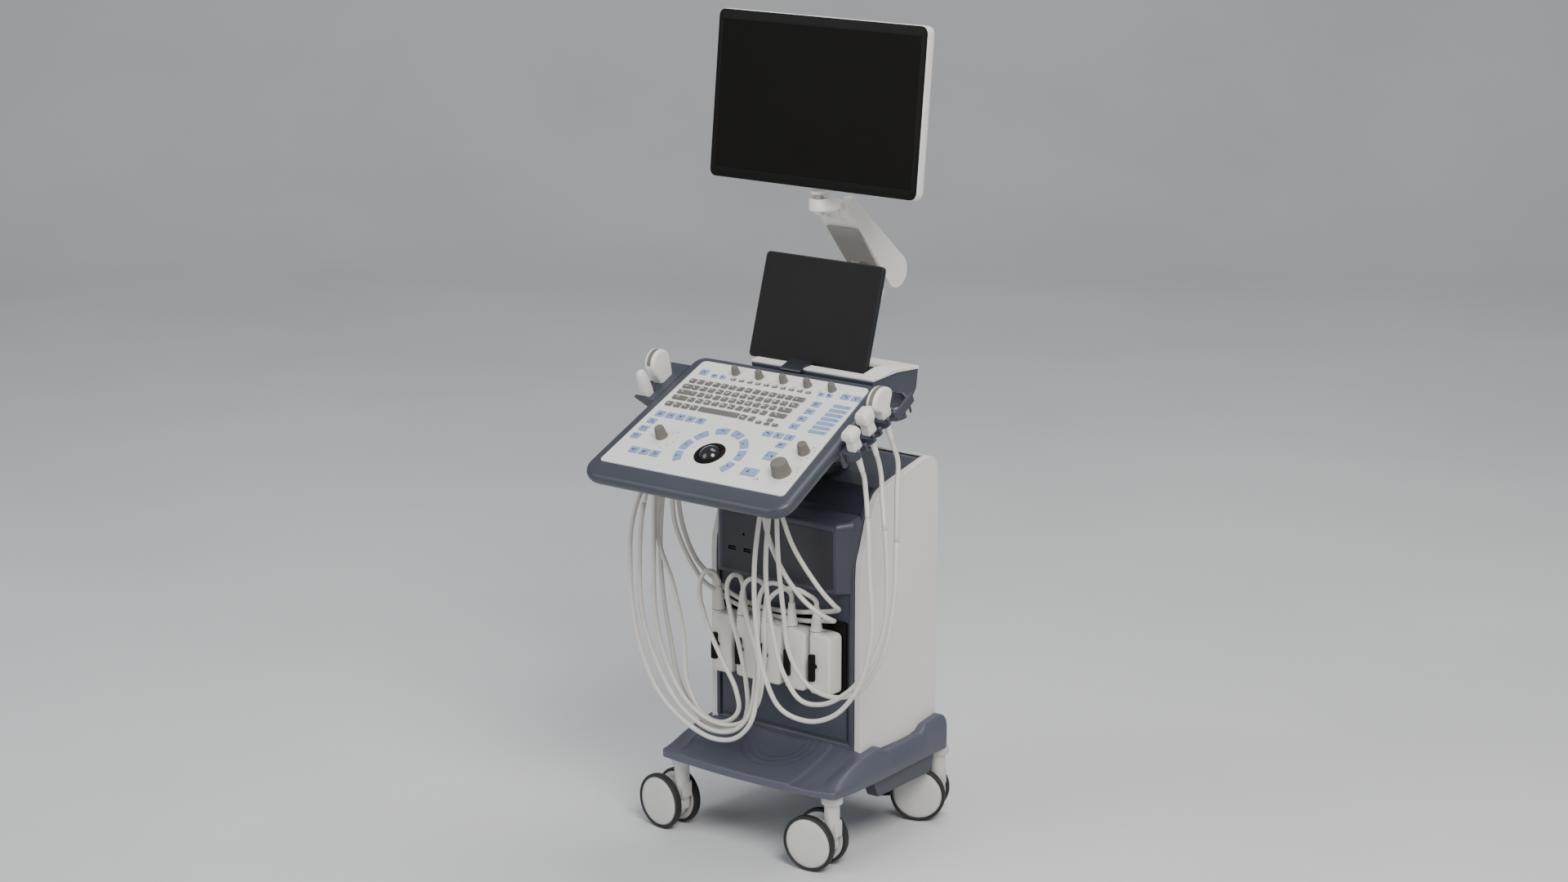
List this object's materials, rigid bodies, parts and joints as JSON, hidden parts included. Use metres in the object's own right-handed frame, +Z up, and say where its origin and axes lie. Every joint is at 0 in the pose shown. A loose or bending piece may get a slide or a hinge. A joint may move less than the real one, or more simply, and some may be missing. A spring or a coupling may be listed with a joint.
{
  "type": "cart ultrasound scanner",
  "caption": "Cart-mounted ultrasound scanner: column on twin-wheel casters, sloped control console with probe holders, tilting touch panel and arm-mounted monitor.",
  "frame": {"origin": "centre of the outline at floor level, with the cables left out", "axes": "+Z up, -Y towards the operator, +X to the operator's right"},
  "size_m": [0.5446, 0.5866, 1.4451],
  "materials": {
    "slate_plastic": "fine texture",
    "dark_plastic": "fine texture",
    "white_plastic": "satin",
    "white_metal": "satin",
    "deck_plastic": "satin",
    "steel": "brushed",
    "lift_aluminium": "anodised",
    "grey_keys": "satin",
    "blue_keys": "satin",
    "knob_grey": "satin",
    "ball_gloss": "gloss",
    "screen_glass": "matte glass look",
    "panel_dark": "satin",
    "board_green": "satin",
    "cable_white": "satin",
    "wheel_white": "satin"
  },
  "bodies": {
    "base": {"base_tray": "slate_plastic", "chassis_frame": "steel", "front_fascia": "slate_plastic", "left_side_cover": "white_plastic", "right_side_cover": "white_plastic", "rear_cover": "white_plastic", "top_cover": "slate_plastic", "drive_module": "dark_plastic", "socket_panel": "dark_plastic", "probe_plugs": "white_plastic", "plug_locks": "dark_plastic", "power_supply": "steel", "electronics_rack": "board_green", "cover_screws": "steel"},
    "fan": {"fan_rotor": "dark_plastic"},
    "console": {"lift_column": "lift_aluminium", "console_shell": "slate_plastic", "console_deck": "deck_plastic", "rear_housing": "white_plastic", "left_rack": "slate_plastic", "right_rack": "slate_plastic", "touch_bracket": "dark_plastic", "cable_left_convex": "cable_white", "cable_left_small": "cable_white", "cable_right_1": "cable_white", "cable_right_2": "cable_white", "cable_right_convex": "cable_white"},
    "typing_keys": {"typing_keys": "grey_keys"},
    "soft_keys": {"soft_keys": "blue_keys"},
    "trackball": {"trackball": "ball_gloss"},
    "encoder_knob_1": {"encoder_knob_1": "knob_grey"},
    "encoder_knob_2": {"encoder_knob_2": "knob_grey"},
    "encoder_knob_3": {"encoder_knob_3": "knob_grey"},
    "encoder_knob_4": {"encoder_knob_4": "knob_grey"},
    "encoder_knob_5": {"encoder_knob_5": "knob_grey"},
    "mode_knob": {"mode_knob": "knob_grey"},
    "gain_knob": {"gain_knob": "knob_grey"},
    "depth_knob": {"depth_knob": "knob_grey"},
    "touch_panel": {"touch_panel": "panel_dark"},
    "lower_arm": {"lower_arm": "white_metal"},
    "upper_arm": {"upper_arm": "white_metal"},
    "arm_head": {"arm_head": "white_metal"},
    "monitor_neck": {"monitor_neck": "white_metal"},
    "monitor": {"monitor_housing": "white_plastic", "monitor_screen": "screen_glass"},
    "probe_left_convex": {"probe_left_convex": "white_plastic"},
    "probe_left_small": {"probe_left_small": "white_plastic"},
    "probe_right_1": {"probe_right_1": "white_plastic"},
    "probe_right_2": {"probe_right_2": "white_plastic"},
    "probe_right_convex": {"probe_right_convex": "white_plastic"},
    "caster_fl": {"caster_fl_fork": "white_metal"},
    "caster_fl_wheels": {"caster_fl_wheels": "wheel_white"},
    "caster_fr": {"caster_fr_fork": "white_metal"},
    "caster_fr_wheels": {"caster_fr_wheels": "wheel_white"},
    "caster_rl": {"caster_rl_fork": "white_metal"},
    "caster_rl_wheels": {"caster_rl_wheels": "wheel_white"},
    "brake_pedal_rl": {"brake_pedal_rl": "dark_plastic"},
    "caster_rr": {"caster_rr_fork": "white_metal"},
    "caster_rr_wheels": {"caster_rr_wheels": "wheel_white"},
    "brake_pedal_rr": {"brake_pedal_rr": "dark_plastic"}
  },
  "joints": [
    {"name": "console_lift", "type": "slide", "parent": "base", "child": "console", "axis": [0, 0, 1], "range_m": [-0.04, 0.16], "deforming": ["cable_left_convex", "cable_left_small", "cable_right_1", "cable_right_2", "cable_right_convex"]},
    {"name": "fan_spin", "type": "hinge", "parent": "base", "child": "fan", "pos_m": [0.1, 0.212, 0.385], "axis": [0, 1, 0], "continuous": true},
    {"name": "typing_key_press", "type": "slide", "parent": "console", "child": "typing_keys", "axis": [0, -0.4305, 0.9026], "range_m": [-0.0012, 0], "stiffness_N_per_m": 1500, "springref_m": 0.001},
    {"name": "soft_key_press", "type": "slide", "parent": "console", "child": "soft_keys", "axis": [0, -0.4305, 0.9026], "range_m": [-0.0008, 0], "stiffness_N_per_m": 1500, "springref_m": 0.001},
    {"name": "trackball_roll", "type": "hinge", "parent": "console", "child": "trackball", "pos_m": [-0.003, -0.19923, 0.73301], "axis": [1, 0, 0], "continuous": true},
    {"name": "encoder_knob_1_turn", "type": "hinge", "parent": "console", "child": "encoder_knob_1", "pos_m": [-0.093, -0.01499, 0.83219], "axis": [0, -0.4305, 0.9026], "continuous": true},
    {"name": "encoder_knob_2_turn", "type": "hinge", "parent": "console", "child": "encoder_knob_2", "pos_m": [-0.0415, -0.01499, 0.83219], "axis": [0, -0.4305, 0.9026], "continuous": true},
    {"name": "encoder_knob_3_turn", "type": "hinge", "parent": "console", "child": "encoder_knob_3", "pos_m": [0.0105, -0.01499, 0.83219], "axis": [0, -0.4305, 0.9026], "continuous": true},
    {"name": "encoder_knob_4_turn", "type": "hinge", "parent": "console", "child": "encoder_knob_4", "pos_m": [0.062, -0.01499, 0.83219], "axis": [0, -0.4305, 0.9026], "continuous": true},
    {"name": "encoder_knob_5_turn", "type": "hinge", "parent": "console", "child": "encoder_knob_5", "pos_m": [0.114, -0.01499, 0.83219], "axis": [0, -0.4305, 0.9026], "continuous": true},
    {"name": "mode_knob_turn", "type": "hinge", "parent": "console", "child": "mode_knob", "pos_m": [-0.12, -0.18648, 0.75039], "axis": [0, -0.4305, 0.9026], "continuous": true},
    {"name": "gain_knob_turn", "type": "hinge", "parent": "console", "child": "gain_knob", "pos_m": [0.165, -0.16301, 0.76158], "axis": [0, -0.4305, 0.9026], "continuous": true},
    {"name": "depth_knob_turn", "type": "hinge", "parent": "console", "child": "depth_knob", "pos_m": [0.158, -0.21536, 0.73662], "axis": [0, -0.4305, 0.9026], "continuous": true},
    {"name": "touch_tilt", "type": "hinge", "parent": "console", "child": "touch_panel", "pos_m": [0, 0.084, 0.856], "axis": [1, 0, 0], "range_deg": [-5, 8]},
    {"name": "arm_swivel", "type": "hinge", "parent": "console", "child": "lower_arm", "pos_m": [0, 0.18, 0.85], "axis": [0, 0, 1], "range_deg": [-90, 90]},
    {"name": "arm_elbow", "type": "hinge", "parent": "lower_arm", "child": "upper_arm", "pos_m": [0, 0.267, 0.985], "axis": [1, 0, 0], "range_deg": [-20, 15]},
    {"name": "head_level", "type": "hinge", "parent": "upper_arm", "child": "arm_head", "pos_m": [0, 0.146, 1.112], "axis": [1, 0, 0], "range_deg": [-15, 20]},
    {"name": "neck_swivel", "type": "hinge", "parent": "arm_head", "child": "monitor_neck", "pos_m": [0, 0.098, 1.13], "axis": [0, 0, 1], "range_deg": [-90, 90]},
    {"name": "monitor_tilt", "type": "hinge", "parent": "monitor_neck", "child": "monitor", "pos_m": [0, 0.126, 1.236], "axis": [1, 0, 0], "range_deg": [-15, 5]},
    {"name": "probe_left_convex_lift", "type": "slide", "parent": "console", "child": "probe_left_convex", "axis": [0, -0.4305, 0.9026], "range_m": [0, 0.08]},
    {"name": "probe_left_small_lift", "type": "slide", "parent": "console", "child": "probe_left_small", "axis": [0, -0.4305, 0.9026], "range_m": [0, 0.08]},
    {"name": "probe_right_1_lift", "type": "slide", "parent": "console", "child": "probe_right_1", "axis": [0, -0.4305, 0.9026], "range_m": [0, 0.08]},
    {"name": "probe_right_2_lift", "type": "slide", "parent": "console", "child": "probe_right_2", "axis": [0, -0.4305, 0.9026], "range_m": [0, 0.08]},
    {"name": "probe_right_convex_lift", "type": "slide", "parent": "console", "child": "probe_right_convex", "axis": [0, -0.4305, 0.9026], "range_m": [0, 0.08]},
    {"name": "caster_fl_swivel", "type": "hinge", "parent": "base", "child": "caster_fl", "pos_m": [-0.166, -0.083, 0.12], "axis": [0, 0, 1], "continuous": true},
    {"name": "caster_fl_roll", "type": "hinge", "parent": "caster_fl", "child": "caster_fl_wheels", "pos_m": [-0.19769, -0.07855, 0.05], "axis": [-0.1392, -0.9903, 0], "continuous": true},
    {"name": "caster_fr_swivel", "type": "hinge", "parent": "base", "child": "caster_fr", "pos_m": [0.166, -0.083, 0.12], "axis": [0, 0, 1], "continuous": true},
    {"name": "caster_fr_roll", "type": "hinge", "parent": "caster_fr", "child": "caster_fr_wheels", "pos_m": [0.13412, -0.08579, 0.05], "axis": [0.0872, -0.9962, 0], "continuous": true},
    {"name": "caster_rl_swivel", "type": "hinge", "parent": "base", "child": "caster_rl", "pos_m": [-0.166, 0.238, 0.12], "axis": [0, 0, 1], "continuous": true},
    {"name": "caster_rl_roll", "type": "hinge", "parent": "caster_rl", "child": "caster_rl_wheels", "pos_m": [-0.134, 0.238, 0.05], "axis": [0, 1, 0], "continuous": true},
    {"name": "brake_pedal_rl_press", "type": "hinge", "parent": "caster_rl", "child": "brake_pedal_rl", "pos_m": [-0.093, 0.238, 0.046], "axis": [0, 1, 0], "range_deg": [0, 12]},
    {"name": "caster_rr_swivel", "type": "hinge", "parent": "base", "child": "caster_rr", "pos_m": [0.166, 0.238, 0.12], "axis": [0, 0, 1], "continuous": true},
    {"name": "caster_rr_roll", "type": "hinge", "parent": "caster_rr", "child": "caster_rr_wheels", "pos_m": [0.137, 0.22448, 0.05], "axis": [0.4226, -0.9063, 0], "continuous": true},
    {"name": "brake_pedal_rr_press", "type": "hinge", "parent": "caster_rr", "child": "brake_pedal_rr", "pos_m": [0.09984, 0.20715, 0.046], "axis": [0.4226, -0.9063, 0], "range_deg": [0, 12]}
  ],
  "couplings": [
    {"joint": "head_level", "follows": "arm_elbow", "ratio": -1}
  ]
}
